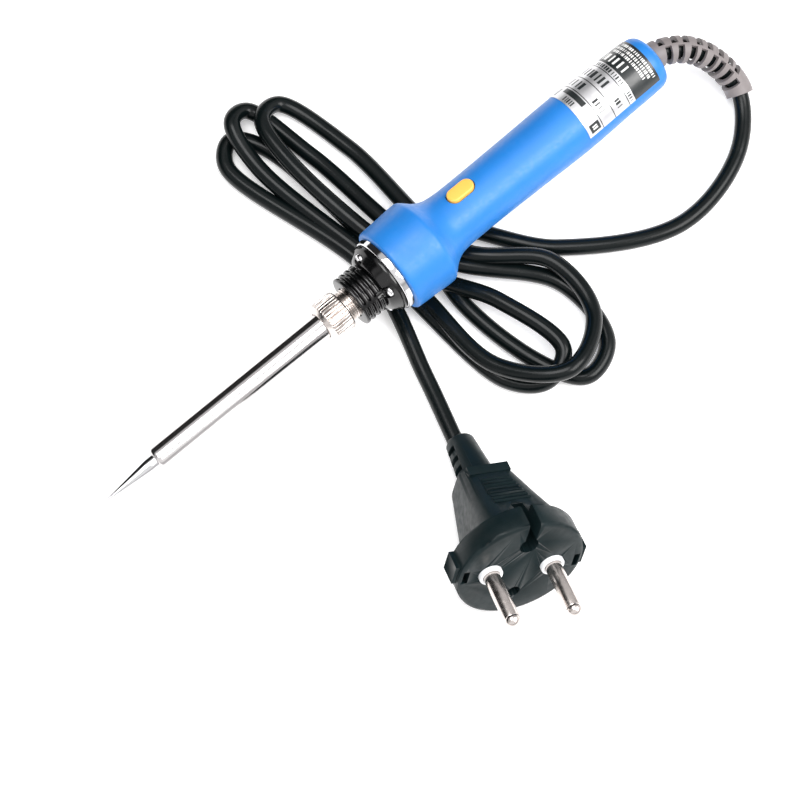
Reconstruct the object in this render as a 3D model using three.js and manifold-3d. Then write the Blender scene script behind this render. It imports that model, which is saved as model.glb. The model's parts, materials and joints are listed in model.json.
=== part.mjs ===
// Soldering iron with a boost button, lying on its own folded mains cord.
//
// Millimetres, +Z up.  The iron's axis is level and runs along +X, from the point of the tip to the
// cord entry at the rear of the handle.  Everything is first placed from the point of the tip, with
// the table at z = 0, and the whole object is then centred over its origin on the table.

import * as THREE from 'three';
import { mergeVertices } from 'three/addons/utils/BufferGeometryUtils.js';
import Module from 'manifold-3d';

const wasm = await Module();
wasm.setup();

// ---- Driving dimensions -------------------------------------------------------------------------

const GAP = 0.3; // clearance between neighbouring pieces
const AXIS_Z = 21.4; // height of the iron's axis over the table
const ROUND = 32; // facets around a large round piece
const SMALL_ROUND = 16; // facets around a small round piece

// Hot end, as distances behind the point of the tip.
const CONE_LENGTH = 15.4;
const SHANK_R = 2.35;
const SLEEVE_START = 18.0;
const SLEEVE_R = 4.0;
const SLEEVE_BORE_R = 3.45;
const SLEEVE_LIP = 1.0;
const TIP_BODY_R = 3.15;
const TIP_END = 43.0;
const HEATER_R = 1.9;
const HEATER_START = 23.3;
const HEATER_END = 109.0;

// Retaining nut, threaded collar and black neck.
const NUT_START = 79.35;
const NUT_END = 87.3;
const NUT_R = 6.25;
const NUT_KNURLS = 36;
const COLLAR_R = 4.8;
const COLLAR_BORE_R = 3.6;
const NECK_START = 90.2;
const NECK_R = 8.0;
const NECK_RIBS = 4;
const RIB_PITCH = 1.9;
const DOME_START = 97.8;
const DOME_END = 102.3;
const DOME_R = 11.25;
const SPIGOT_R = 10.0;
const SPIGOT_END = 112.1;
const BEZEL_R = 11.8;

// Screws that hold the neck to the handle.
const SCREW_CIRCLE_R = 9.0;
const SCREW_HEAD_R = 1.7;
const SCREW_SHANK_R = 0.8;
const SCREW_SEAT = 99.9;
const SCREW_END = 116.5;
const SCREW_ROLLS_DEG = [45, 135, 225, 315];

// Handle.  The outline is given as distance behind the front face and radius.
const HANDLE_START = 104.5;
const HANDLE_LENGTH = 101.7;
const HANDLE_END = HANDLE_START + HANDLE_LENGTH;
const HANDLE_OUTLINE = [
  [0, 12.1], [0.3, 12.75], [1.1, 13.45], [13.2, 14.05], [13.9, 13.9], [15.3, 12.95], [17.4, 11.1],
  [20.4, 9.6], [23.9, 9.1], [29, 8.95], [50, 9.2], [70, 9.55],
];
const HANDLE_REAR = [[97.7, 8.8], [99.4, 8.6], [100.8, 7.8], [101.7, 6.4]];
const CAVITY_R = 7.2;
const REAR_WALL = 4.0;
const SHOULDER_START = 112.4;
const SHOULDER_END = 118.0;

// Rating label, wrapped part of the way round the rear of the handle.
const LABEL_FRONT = 70.0;
const LABEL_REAR = 97.7;
const LABEL_FIRST_DEG = 62; // from the top, towards -Y
const LABEL_WRAP_DEG = 199;
const LABEL_THICKNESS = 0.3;
const LABEL_PROUD = 0.1;

// Boost button and the switch under it.  Both lie on a line tilted from the vertical towards +Y.
const BUTTON_X = HANDLE_START + 29.7;
const BUTTON_TILT_DEG = 18;
const BUTTON_LENGTH = 9.0;
const BUTTON_WIDTH = 4.6;
const BUTTON_TOP_R = 9.75;
const BUTTON_FLANGE_TOP_R = 6.6;
const BUTTON_FLANGE_BOTTOM_R = 5.8;
const SWITCH_TOP_R = 3.0;
const SWITCH_BOTTOM_R = -3.4;
const BOARD_TOP_R = -3.8;
const BOARD_THICKNESS = 1.0;

// Cord and its guard at the rear of the handle.
const CORD_R = 2.5;
const CORD_BORE_R = 2.95;
const CORD_STEPS = 80;
const CORD_SIDES = 8;
const JACKET_START = 186.0;
const HELD_STRAIGHT = 22.0; // length of cord that the handle keeps in line with itself
const GUARD_R = 4.15;
const GUARD_LENGTH = 37.0;
const GUARD_COLLAR = 4.2;
const GUARD_PITCH = 3.7;
const GUARD_SLOT = 1.6;
const GUARD_SPIGOT_R = 3.9;

// Plug.  Its own +Z is the direction of the pins, with z = 0 on the face.
const PLUG_FACE = new THREE.Vector3(75.5, -90.7, 20.9);
const PLUG_HEADING = new THREE.Vector3(-0.325, -0.946, 0);
const PLUG_TILT_DEG = 20.6;
const PLUG_ROLL_DEG = 20;
const PLUG_R = 19.0;
const PLUG_BODY_LENGTH = 33.0;
const PLUG_GUARD_LENGTH = 15.2;
const PIN_R = 2.4;
const PIN_LENGTH = 19.0;
const PIN_SPACING = 19.0;
const PIN_COLLAR_R = 3.5;
const PIN_COLLAR_HEIGHT = 1.2;
const PIN_SOCKET_DEPTH = 4.0;
const EARTH_HOLE_R = 2.6;

// Route of the cord's centre line, from inside the rear of the handle to the plug.
const LOW = CORD_R + 0.1; // lying on the table
const HIGH = 3 * CORD_R + 0.2; // lying on another strand
const ROUTE = [
  // out of the handle, round through the guard, and along the table to a hidden turn under the grip
  [JACKET_START, 0, AXIS_Z], [JACKET_START + HELD_STRAIGHT, 0, AXIS_Z], [219.4, -6.4, 17],
  [224.6, -20.5, 5.2],
  [211.5, -34.6, LOW], [184, -40, LOW], [151, -21.4, LOW], [128, 6.5, LOW],
  // long loop on the -Y side
  [119.4, -11, LOW], [124.3, -46, LOW], [132, -57.2, LOW], [143.2, -53, LOW], [145, -31, LOW],
  [122, -2, 6.4],
  // middle loop on the +Y side
  [115.4, 47, LOW], [109.5, 70.5, 4.6], [103.2, 69.5, HIGH], [100.4, 55, 5],
  [108.2, 6, LOW],
  // inner loop on the -Y side
  [112.8, -42.3, LOW], [121.3, -51.2, 5], [130.6, -47.5, HIGH], [126.3, -24.2, HIGH],
  [116.4, -2, 3.2],
  // first loop on the +Y side
  [108, 47.5, HIGH], [110.6, 64.5, HIGH], [118.2, 66, 4.2], [125.4, 42, LOW],
  // wide loop on the -Y side, on top of the others
  [128, -5, HIGH], [146, -25, HIGH], [144.5, -45, HIGH], [127.2, -54.2, 12], [112.6, -38.5, HIGH],
  [111.3, -3, 3.2],
  // last loop on the +Y side, and out to the plug
  [106.6, 58, LOW], [100, 66.9, LOW], [94, 61.5, LOW],
  [104.8, 8, LOW], [96, -26.5, LOW], [89.7, -46.6, 3.7],
];

// ---- Materials ----------------------------------------------------------------------------------

function material(color, roughness, metalness) {
  return new THREE.MeshStandardMaterial({ color, roughness, metalness });
}

const finish = {
  bluePlastic: material(0x2b86d9, 0.42, 0),
  orangePlastic: material(0xffc56a, 0.4, 0),
  silverFoil: material(0xc4c4c6, 0.35, 0.8),
  chrome: material(0xdedede, 0.08, 1),
  nickel: material(0xcfcac2, 0.2, 1),
  steel: material(0xd2cfce, 0.15, 1),
  bakelite: material(0x0c0c0d, 0.2, 0),
  blackRubber: material(0x101416, 0.35, 0),
  greyRubber: material(0x8d8585, 0.5, 0),
  plugPlastic: material(0x15201f, 0.4, 0),
  ceramic: material(0xe9e4d8, 0.6, 0),
  whitePlastic: material(0xe8eaec, 0.5, 0),
  board: material(0x2c6b3a, 0.5, 0),
  copper: material(0xb87333, 0.3, 1),
  brownWire: material(0x5c3317, 0.5, 0),
  blueWire: material(0x2a5db0, 0.5, 0),
  greenWire: material(0x7fae2b, 0.5, 0),
};

// ---- Solids -------------------------------------------------------------------------------------

// Merges shared vertices and drops the empty triangles that a lathe leaves on its axis.
function closed(geometry) {
  const bare = geometry.clone();
  bare.deleteAttribute('normal');
  bare.deleteAttribute('uv');
  const merged = mergeVertices(bare, 1e-4);
  const old = merged.index.array;
  const kept = [];
  for (let i = 0; i < old.length; i += 3) {
    const [a, b, c] = [old[i], old[i + 1], old[i + 2]];
    if (a !== b && b !== c && c !== a) kept.push(a, b, c);
  }
  merged.setIndex(kept);
  return merged;
}

function toSolid(geometry) {
  const merged = closed(geometry);
  return new wasm.Manifold(new wasm.Mesh({
    numProp: 3,
    vertProperties: Float32Array.from(merged.attributes.position.array),
    triVerts: Uint32Array.from(merged.index.array),
  }));
}

function toGeometry(solid) {
  const mesh = solid.getMesh();
  const geometry = new THREE.BufferGeometry();
  geometry.setAttribute('position', new THREE.BufferAttribute(mesh.vertProperties, 3));
  geometry.setIndex(new THREE.BufferAttribute(mesh.triVerts, 1));
  geometry.computeVertexNormals();
  return geometry;
}

function cut(base, ...tools) {
  const rest = tools.reduce((solid, tool) => solid.subtract(toSolid(tool)), toSolid(base));
  return toGeometry(rest);
}

function join(...pieces) {
  const whole = pieces.slice(1).reduce((solid, piece) => solid.add(toSolid(piece)), toSolid(pieces[0]));
  return toGeometry(whole);
}

function common(first, second) {
  return toGeometry(toSolid(first).intersect(toSolid(second)));
}

// Turns an outline of [distance along the axis, radius] pairs around the X axis.
function revolve(outline, facets = ROUND) {
  const points = outline.map(([along, radius]) => new THREE.Vector2(radius, along));
  return new THREE.LatheGeometry(points, facets).rotateZ(-Math.PI / 2);
}

// A rod or a tube along the X axis.
function rod(start, end, radius, facets = SMALL_ROUND) {
  return revolve([[start, 0], [start, radius], [end, radius], [end, 0]], facets);
}

function tube(start, end, radius, boreRadius, facets = ROUND) {
  return revolve([
    [start, boreRadius], [start, radius], [end, radius], [end, boreRadius], [start, boreRadius],
  ], facets);
}

// Moves a piece made on the X axis out to a circle around that axis; the roll is measured from the
// top towards -Y.
function onCircle(geometry, radius, rollDeg) {
  return geometry.translate(0, 0, radius).rotateX(THREE.MathUtils.degToRad(rollDeg));
}

function box(low, high) {
  const size = high.map((value, i) => value - low[i]);
  const centre = high.map((value, i) => (value + low[i]) / 2);
  return new THREE.BoxGeometry(...size).translate(...centre);
}

// A block with two round ends, long along X and standing along Z.
function obround(length, width, bottom, top) {
  const radius = width / 2;
  const reach = length / 2 - radius;
  const outline = new THREE.Shape();
  outline.absarc(reach, 0, radius, -Math.PI / 2, Math.PI / 2, false);
  outline.absarc(-reach, 0, radius, Math.PI / 2, 1.5 * Math.PI, false);
  const block = new THREE.ExtrudeGeometry(outline, { depth: top - bottom, bevelEnabled: false, curveSegments: 4 });
  return block.translate(0, 0, bottom);
}

// A round section swept along a curve, with a bore if one is asked for.
function sweep(curve, radius, steps, sides, boreRadius = 0) {
  const section = new THREE.Shape();
  section.absarc(0, 0, radius, 0, 2 * Math.PI, false);
  if (boreRadius > 0) {
    const bore = new THREE.Path();
    bore.absarc(0, 0, boreRadius, 0, 2 * Math.PI, true);
    section.holes.push(bore);
  }
  const curveSegments = sides / 2; // a full circle is drawn with twice as many
  return new THREE.ExtrudeGeometry(section, { steps, extrudePath: curve, curveSegments, bevelEnabled: false });
}

// A skin over rings of points, closed by a cap at each end.
function loft(rings) {
  const sides = rings[0].length;
  const positions = [];
  const index = [];
  for (const ring of rings) {
    for (const point of ring) positions.push(point.x, point.y, point.z);
  }
  for (let r = 0; r + 1 < rings.length; r += 1) {
    for (let s = 0; s < sides; s += 1) {
      const next = (s + 1) % sides;
      const [a, b] = [r * sides + s, r * sides + next];
      index.push(a, b, b + sides, a, b + sides, a + sides);
    }
  }
  const last = (rings.length - 1) * sides;
  for (let s = 1; s + 1 < sides; s += 1) {
    index.push(0, s + 1, s, last, last + s, last + s + 1);
  }
  const geometry = new THREE.BufferGeometry();
  geometry.setAttribute('position', new THREE.Float32BufferAttribute(positions, 3));
  geometry.setIndex(index);
  return geometry;
}

// A rounded rectangle of points around the Z axis; power 2 is an ellipse, more is squarer.
function ovalRing(z, halfWidth, halfDepth, power = 2, sides = 24) {
  const points = [];
  for (let i = 0; i < sides; i += 1) {
    const angle = (2 * Math.PI * i) / sides;
    const [c, s] = [Math.cos(angle), Math.sin(angle)];
    const x = halfWidth * Math.sign(c) * Math.abs(c) ** (2 / power);
    const y = halfDepth * Math.sign(s) * Math.abs(s) ** (2 / power);
    points.push(new THREE.Vector3(x, y, z));
  }
  return points;
}

function piece(name, geometry, look) {
  const mesh = new THREE.Mesh(geometry, look);
  mesh.name = name;
  return mesh;
}

function route(points) {
  return new THREE.CatmullRomCurve3(points.map((point) => new THREE.Vector3(...point)), false, 'centripetal');
}

// ---- Hot end ------------------------------------------------------------------------------------

function solderingTip() {
  const outline = [
    [0, 0], [0.15, 0.3], [CONE_LENGTH, SHANK_R], [SLEEVE_START + SLEEVE_LIP + GAP, SHANK_R],
    [SLEEVE_START + SLEEVE_LIP + GAP, TIP_BODY_R], [TIP_END, TIP_BODY_R], [TIP_END, HEATER_R + GAP],
    [HEATER_START - GAP, HEATER_R + GAP], [HEATER_START - GAP, 0],
  ];
  return piece('soldering_tip', revolve(outline, 24), finish.chrome);
}

function heaterCore() {
  return piece('heater_core', rod(HEATER_START, HEATER_END, HEATER_R), finish.ceramic);
}

const FLANGE_START = 83.5;
const FLANGE_END = 84.5;
const FLANGE_R = 4.7;

function barrelSleeve() {
  const lipR = SHANK_R + GAP;
  const outline = [
    [SLEEVE_START, lipR], [SLEEVE_START, SLEEVE_R - 0.9], [SLEEVE_START + 0.3, SLEEVE_R - 0.3],
    [SLEEVE_START + 0.9, SLEEVE_R], [FLANGE_START, SLEEVE_R], [FLANGE_START, FLANGE_R],
    [FLANGE_END, FLANGE_R], [FLANGE_END, SLEEVE_BORE_R], [SLEEVE_START + SLEEVE_LIP, SLEEVE_BORE_R],
    [SLEEVE_START + SLEEVE_LIP, lipR], [SLEEVE_START, lipR],
  ];
  return piece('barrel_sleeve', revolve(outline), finish.steel);
}

// The nut has straight knurling, a chamfered nose and a counterbore over the sleeve's flange.
function barrelNut() {
  const knurled = new THREE.Shape();
  for (let i = 0; i < 2 * NUT_KNURLS; i += 1) {
    const angle = (Math.PI * i) / NUT_KNURLS;
    const radius = i % 2 ? NUT_R - 0.25 : NUT_R;
    const [x, y] = [radius * Math.cos(angle), radius * Math.sin(angle)];
    if (i === 0) knurled.moveTo(x, y);
    else knurled.lineTo(x, y);
  }
  knurled.closePath();
  const length = NUT_END - NUT_START;
  const star = new THREE.ExtrudeGeometry(knurled, { depth: length, bevelEnabled: false });
  star.rotateY(Math.PI / 2).translate(NUT_START, 0, 0);
  const turned = revolve([
    [NUT_START - 1, 0], [NUT_START - 0.01, NUT_R - 1.3], [NUT_START + 1.3, NUT_R + 0.1],
    [NUT_END - 0.4, NUT_R + 0.1], [NUT_END + 0.5, NUT_R - 0.8], [NUT_END + 0.5, 0],
  ]);
  const bore = rod(NUT_START - 2, NUT_END + 2, SLEEVE_R + GAP, ROUND);
  const counterbore = rod(FLANGE_START - GAP, NUT_END + 2, COLLAR_R + GAP, ROUND);
  return piece('barrel_nut', cut(common(star, turned), bore, counterbore), finish.nickel);
}

function threadedCollar() {
  const outline = [[FLANGE_END + GAP, COLLAR_BORE_R], [FLANGE_END + GAP, COLLAR_R - 0.25]];
  const crests = 3;
  const pitch = 0.9;
  for (let i = 0; i < crests; i += 1) {
    const along = NUT_END + 0.2 + i * pitch;
    outline.push([along, COLLAR_R - 0.25], [along + pitch / 2, COLLAR_R]);
  }
  outline.push(
    [NECK_START, COLLAR_R - 0.1], [101.3, COLLAR_R - 0.1], [101.3, 6.5], [102.6, 6.5],
    [102.6, COLLAR_BORE_R], [FLANGE_END + GAP, COLLAR_BORE_R],
  );
  return piece('threaded_collar', revolve(outline, 24), finish.nickel);
}

// ---- Neck ---------------------------------------------------------------------------------------

function neckInsulator() {
  const outline = [[NECK_START, COLLAR_R + GAP]];
  const ribWidth = RIB_PITCH * 0.6;
  for (let i = 0; i < NECK_RIBS; i += 1) {
    const start = NECK_START + i * RIB_PITCH;
    outline.push([start, NECK_R], [start + ribWidth, NECK_R]);
    outline.push([start + ribWidth, NECK_R - 1], [start + RIB_PITCH, NECK_R - 1]);
  }
  outline.push(
    [DOME_START, NECK_R + 0.2], [99.2, 9.3], [100.7, 10.5], [101.6, DOME_R], [DOME_END, DOME_R],
    [DOME_END, SPIGOT_R], [SPIGOT_END, SPIGOT_R], [SPIGOT_END, 7.5], [101, 7.5],
    [101, COLLAR_R + GAP], [NECK_START, COLLAR_R + GAP],
  );
  const body = revolve(outline);
  const tools = [];
  for (const roll of SCREW_ROLLS_DEG) {
    const pocket = rod(DOME_START - 0.2, SCREW_SEAT, SCREW_HEAD_R + GAP, SMALL_ROUND);
    const hole = rod(SCREW_SEAT - 1, SPIGOT_END + 1, SCREW_SHANK_R + GAP, 8);
    tools.push(onCircle(pocket, SCREW_CIRCLE_R, roll), onCircle(hole, SCREW_CIRCLE_R, roll));
  }
  return piece('neck_insulator', cut(body, ...tools), finish.bakelite);
}

function neckScrews() {
  return SCREW_ROLLS_DEG.map((roll, i) => {
    const seat = SCREW_SEAT - GAP;
    const screw = revolve([
      [seat - 1.35, 0], [seat - 1.35, 0.9], [seat - 0.9, SCREW_HEAD_R - 0.15], [seat - 0.5, SCREW_HEAD_R],
      [seat, SCREW_HEAD_R], [seat, SCREW_SHANK_R], [SCREW_END, SCREW_SHANK_R], [SCREW_END + 0.6, 0],
    ], SMALL_ROUND);
    const slots = [box([seat - 2, -1.05, -0.2], [seat - 0.7, 1.05, 0.2]),
      box([seat - 2, -0.2, -1.05], [seat - 0.7, 0.2, 1.05])];
    return piece(`neck_screw_${i + 1}`, onCircle(cut(screw, ...slots), SCREW_CIRCLE_R, roll), finish.chrome);
  });
}

function frontBezelRing() {
  const [front, rear] = [DOME_END + GAP, HANDLE_START - GAP];
  const outline = [
    [front, SPIGOT_R + GAP], [front, BEZEL_R - 0.3], [front + 0.3, BEZEL_R], [rear, BEZEL_R],
    [rear, SPIGOT_R + GAP], [front, SPIGOT_R + GAP],
  ];
  return piece('front_bezel_ring', revolve(outline, 40), finish.chrome);
}

// Steatite disc that grips the rear of the heater.
function heaterHolder() {
  return piece('heater_holder', tube(103, 107.5, 7.1, HEATER_R + GAP, 24), finish.ceramic);
}

// ---- Handle -------------------------------------------------------------------------------------

// Radius of the handle's outside, at a distance behind its front face.
function handleRadius(along) {
  const outline = [...HANDLE_OUTLINE, ...HANDLE_REAR];
  const next = outline.findIndex(([position]) => position >= along);
  const [x0, r0] = outline[next - 1];
  const [x1, r1] = outline[next];
  return r0 + ((r1 - r0) * (along - x0)) / (x1 - x0);
}

function handleShell() {
  const outer = [...HANDLE_OUTLINE, ...HANDLE_REAR].map(([along, radius]) => [HANDLE_START + along, radius]);
  const rearWallStart = HANDLE_END - REAR_WALL;
  const shell = revolve([
    [HANDLE_START, SPIGOT_R + GAP], ...outer, [HANDLE_END, GUARD_SPIGOT_R + GAP],
    [rearWallStart, GUARD_SPIGOT_R + GAP], [rearWallStart, CAVITY_R], [SHOULDER_END, CAVITY_R],
    [SHOULDER_END, 6.4], [SHOULDER_START, 6.4], [SHOULDER_START, SPIGOT_R + GAP],
    [HANDLE_START, SPIGOT_R + GAP],
  ], 40);
  const buttonHole = obround(BUTTON_LENGTH + 2 * GAP, BUTTON_WIDTH + 2 * GAP, 4, 14);
  const tools = [tiltToButton(buttonHole), labelWrap(-LABEL_THICKNESS - GAP, 3, GAP)];
  for (const roll of SCREW_ROLLS_DEG) {
    const pilot = rod(SHOULDER_START - 1, SCREW_END + 1.2, SCREW_SHANK_R + GAP, 8);
    tools.push(onCircle(pilot, SCREW_CIRCLE_R, roll));
  }
  return piece('handle_shell', cut(shell, ...tools), finish.bluePlastic);
}

// A curved band that follows the handle, from one height over its surface to another, grown on all
// four edges by a margin.
function labelWrap(under, over, margin) {
  const front = LABEL_FRONT - margin;
  const rear = LABEL_REAR + margin;
  const [frontR, rearR] = [handleRadius(front), handleRadius(rear)];
  const ring = revolve([
    [HANDLE_START + front, frontR + under], [HANDLE_START + front, frontR + over],
    [HANDLE_START + rear, rearR + over], [HANDLE_START + rear, rearR + under],
    [HANDLE_START + front, frontR + under],
  ], 48);
  const marginDeg = THREE.MathUtils.radToDeg(margin / frontR);
  const first = LABEL_FIRST_DEG + marginDeg;
  const wrap = LABEL_WRAP_DEG + 2 * marginDeg;
  const sector = new THREE.Shape();
  sector.moveTo(0, 0);
  const steps = 12;
  for (let i = 0; i <= steps; i += 1) {
    const roll = THREE.MathUtils.degToRad(first - (wrap * i) / steps);
    sector.lineTo(-40 * Math.sin(roll), 40 * Math.cos(roll));
  }
  sector.closePath();
  const wedge = new THREE.ExtrudeGeometry(sector, { depth: rear - front + 4, bevelEnabled: false });
  wedge.rotateX(Math.PI / 2).rotateZ(Math.PI / 2).translate(HANDLE_START + front - 2, 0, 0);
  return common(ring, wedge);
}

function ratingLabel() {
  return piece('rating_label', labelWrap(LABEL_PROUD - LABEL_THICKNESS, LABEL_PROUD, 0), finish.silverFoil);
}

// ---- Boost button, switch and circuit -----------------------------------------------------------

// Places a piece made upright over the origin at the button, tilted with it.
function tiltToButton(geometry) {
  return geometry.rotateX(-THREE.MathUtils.degToRad(BUTTON_TILT_DEG)).translate(BUTTON_X, 0, 0);
}

function powerButton() {
  const cap = obround(BUTTON_LENGTH, BUTTON_WIDTH, BUTTON_FLANGE_BOTTOM_R, BUTTON_TOP_R);
  const flange = obround(BUTTON_LENGTH + 2, BUTTON_WIDTH - 0.3, BUTTON_FLANGE_BOTTOM_R, BUTTON_FLANGE_TOP_R);
  return piece('power_button', tiltToButton(join(cap, flange)), finish.orangePlastic);
}

const PLUNGER_R = 1.2;

function switchPlunger() {
  const upright = rod(0.8, BUTTON_FLANGE_BOTTOM_R - GAP, PLUNGER_R).rotateY(-Math.PI / 2);
  return piece('switch_plunger', tiltToButton(upright), finish.whitePlastic);
}

function switchBody() {
  const block = box([-6.4, -2.9, SWITCH_BOTTOM_R], [6.4, 2.9, SWITCH_TOP_R]);
  const well = rod(-1.2, SWITCH_TOP_R + 1, PLUNGER_R + GAP).rotateY(-Math.PI / 2);
  return piece('switch_body', tiltToButton(cut(block, well)), finish.bakelite);
}

const BOARD_HALF_WIDTH = 4.4;
const BOARD_FRONT = -12;
const BOARD_REAR = 36;

function circuitBoard() {
  const low = [BOARD_FRONT, -BOARD_HALF_WIDTH, BOARD_TOP_R - BOARD_THICKNESS];
  const plate = box(low, [BOARD_REAR, BOARD_HALF_WIDTH, BOARD_TOP_R]);
  return piece('circuit_board', tiltToButton(plate), finish.board);
}

// Axial diode that halves the heater's power until the button bypasses it.
function diode() {
  const body = revolve([[12.4, 0], [12.4, 1.35], [17.6, 1.35], [17.6, 0]], SMALL_ROUND);
  const lead = rod(9, 21, 0.4, 8);
  return piece('diode', tiltToButton(join(body, lead).translate(0, 0, BOARD_TOP_R + 1.8)), finish.bakelite);
}

// A wire through hand-set points in the iron's own frame.
function wire(name, points, radius, look, steps = 14) {
  return piece(name, sweep(route(points), radius, steps, 6), look);
}

function heaterLeads() {
  return [1, -1].map((side, i) => wire(`heater_lead_${i + 1}`, [
    [HEATER_END + GAP, side * 1.0, 0], [113, side * 2.2, 0.2], [118, side * 4.4, 0.4], [124, side * 5.4, 0.6],
    [133, side * 5.6, 0.8], [143, side * 5.2, 0.6], [150, side * 4.6, -0.6],
  ], 0.6, finish.whitePlastic));
}

function cordCores() {
  const rear = JACKET_START - GAP;
  return [
    wire('live_core', [[rear, 1.2, 0.6], [179, 3.4, 0.4], [170, 4.4, 0], [162, 4.2, -0.6], [156, 3.4, -1.2]],
      0.7, finish.brownWire, 10),
    wire('neutral_core', [[rear, -1.2, 0.6], [179, -3.4, 0.4], [170, -4.4, 0], [162, -4.2, -0.6], [156, -3.4, -1.2]],
      0.7, finish.blueWire, 10),
    wire('earth_core', [[rear, 0, -1.3], [178, 0, 3.4], [160, 0, 5.6], [146, 0.6, 5.7], [143, 3.4, 5.2],
      [136, 5.9, 2.4], [124, 5.6, 2.2], [116, 4.9, 2.0], [110, 4.6, 1.6]], 0.6, finish.greenWire, 20),
  ];
}

// Saddle that grips the cord's jacket inside the rear of the handle.
function cordClamp() {
  const block = common(rod(189, 195, CAVITY_R - GAP, 24), box([180, -9, -9], [200, 9, 4.6]));
  const bore = rod(180, 200, CORD_BORE_R + 0.05, 24);
  return piece('cord_clamp', cut(block, bore), finish.whitePlastic);
}

// ---- Cord, its guard and the plug ---------------------------------------------------------------

const cordRoute = route(ROUTE);
cordRoute.arcLengthDivisions = 2000;

// Lengths along the route, from the stripped end of the cord's jacket.
const EXIT_AT = HANDLE_END - JACKET_START;
const GUARD_END_AT = EXIT_AT + GUARD_LENGTH;
const ROUTE_LENGTH = cordRoute.getLength();

function partOfRoute(start, end, count) {
  const points = [];
  for (let i = 0; i <= count; i += 1) {
    const along = start + ((end - start) * i) / count;
    const point = cordRoute.getPointAt(along / ROUTE_LENGTH);
    point.z = Math.max(point.z, LOW); // the table holds the cord up
    if (along < HELD_STRAIGHT) point.set(point.x, 0, AXIS_Z);
    points.push(point);
  }
  return new THREE.CatmullRomCurve3(points, false, 'centripetal');
}

// Grey guard with slots cut from alternate sides, a plain collar at its free end, and a spigot and
// flange that the rear wall of the handle holds.
function strainRelief() {
  const flangeStart = HANDLE_END - REAR_WALL - 2.2;
  const spigot = tube(flangeStart, HANDLE_END + 0.6, GUARD_SPIGOT_R, CORD_BORE_R, 24);
  const flange = tube(flangeStart, HANDLE_END - REAR_WALL - GAP, 5.6, CORD_BORE_R, 24);
  const path = partOfRoute(EXIT_AT + GAP, GUARD_END_AT, 16);
  const guard = sweep(path, GUARD_R, 22, 12, CORD_BORE_R);
  const slots = [];
  const count = Math.floor((GUARD_LENGTH - GUARD_COLLAR - 2) / GUARD_PITCH);
  for (let i = 0; i < count; i += 1) {
    for (const side of [1, -1]) {
      const along = 3.2 + (i + (side > 0 ? 0 : 0.5)) * GUARD_PITCH;
      const u = along / GUARD_LENGTH;
      const tangent = path.getTangentAt(u);
      const across = new THREE.Vector3().crossVectors(new THREE.Vector3(0, 0, 1), tangent).normalize();
      const up = new THREE.Vector3().crossVectors(tangent, across);
      const slot = box([-GUARD_SLOT / 2, side > 0 ? 0.9 : -8, -8], [GUARD_SLOT / 2, side > 0 ? 8 : -0.9, 8]);
      slot.applyMatrix4(new THREE.Matrix4().makeBasis(tangent, across, up).setPosition(path.getPointAt(u)));
      slots.push(slot);
    }
  }
  const root = join(spigot, flange).translate(0, 0, AXIS_Z);
  return piece('strain_relief', join(cut(guard, ...slots), root), finish.greyRubber);
}

// The end of the cord that the handle and the guard hold, and the free cord that follows it.
function cordInGuard() {
  const path = partOfRoute(0, GUARD_END_AT - 1, 24);
  return piece('cord_in_guard', sweep(path, CORD_R, 22, CORD_SIDES), finish.blackRubber);
}

function mainsCord() {
  const path = partOfRoute(GUARD_END_AT - 1 + 3 * GAP, ROUTE_LENGTH, 400);
  return piece('mains_cord', sweep(path, CORD_R, CORD_STEPS, CORD_SIDES), finish.blackRubber);
}

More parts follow.
